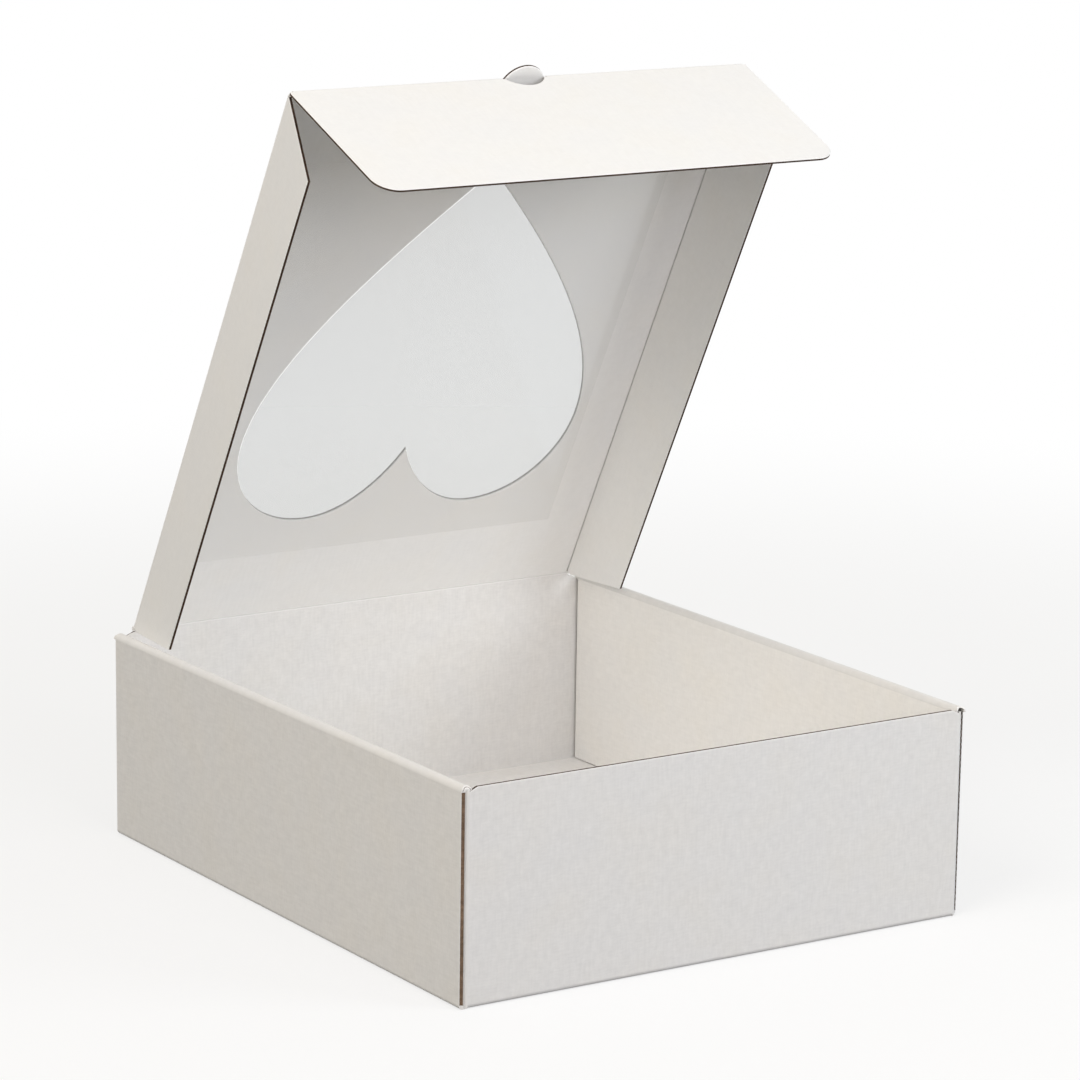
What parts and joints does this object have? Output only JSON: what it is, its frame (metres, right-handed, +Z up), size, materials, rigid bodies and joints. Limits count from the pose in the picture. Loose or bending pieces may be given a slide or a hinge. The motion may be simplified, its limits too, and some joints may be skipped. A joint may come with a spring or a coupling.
{
  "type": "heart window hamper box",
  "caption": "Folded white corrugated gift box with rolled double side walls and a hinged tuck-in lid that has a heart-shaped film window.",
  "frame": {"origin": "the middle of the tray's underside, on the surface that the box stands on", "axes": "+Z up, +X to the box's right, -Y to the front wall; the lid is hinged along the back wall's top edge"},
  "size_m": [0.3, 0.35, 0.4227],
  "materials": {
    "outside_board": "matte",
    "inside_board": "matte",
    "lid_board": "matte",
    "crease_board": "matte",
    "clear_film": "gloss"
  },
  "bodies": {
    "tray": {"base_panel": "inside_board", "front_wall": "outside_board", "back_wall": "outside_board", "left_outer_wall": "outside_board", "right_outer_wall": "outside_board", "left_roll_top": "outside_board", "right_roll_top": "outside_board", "left_inner_wall": "inside_board", "right_inner_wall": "inside_board", "front_left_corner_flap": "inside_board", "front_right_corner_flap": "inside_board", "back_left_corner_flap": "inside_board", "back_right_corner_flap": "inside_board"},
    "lid": {"lid_panel": "lid_board", "window_film": "clear_film", "lid_hinge_crease": "crease_board", "tuck_crease_left": "crease_board", "tuck_crease_right": "crease_board", "left_flap_crease": "crease_board", "right_flap_crease": "crease_board"},
    "tuck_flap": {"tuck_flap": "lid_board"},
    "left_side_flap": {"lid_left_flap": "lid_board"},
    "right_side_flap": {"lid_right_flap": "lid_board"}
  },
  "joints": [
    {"name": "lid_hinge", "type": "hinge", "parent": "tray", "child": "lid", "pos_m": [0, 0.1741, 0.1113], "axis": [-1, 0, 0], "range_deg": [-62, 118]},
    {"name": "tuck_flap_fold", "type": "hinge", "parent": "lid", "child": "tuck_flap", "pos_m": [0, 0.01232, 0.41556], "axis": [-1, 0, 0], "range_deg": [-16, 30]},
    {"name": "left_side_flap_fold", "type": "hinge", "parent": "lid", "child": "left_side_flap", "pos_m": [-0.1381, 0.1741, 0.1113], "axis": [-0.0058, 0.4695, -0.8829], "range_deg": [-20, 84]},
    {"name": "right_side_flap_fold", "type": "hinge", "parent": "lid", "child": "right_side_flap", "pos_m": [0.1381, 0.1741, 0.1113], "axis": [-0.0058, -0.4695, 0.8829], "range_deg": [-20, 84]}
  ],
  "couplings": [
    {"joint": "tuck_flap_fold", "follows": "lid_hinge", "ratio": 0.25}
  ]
}
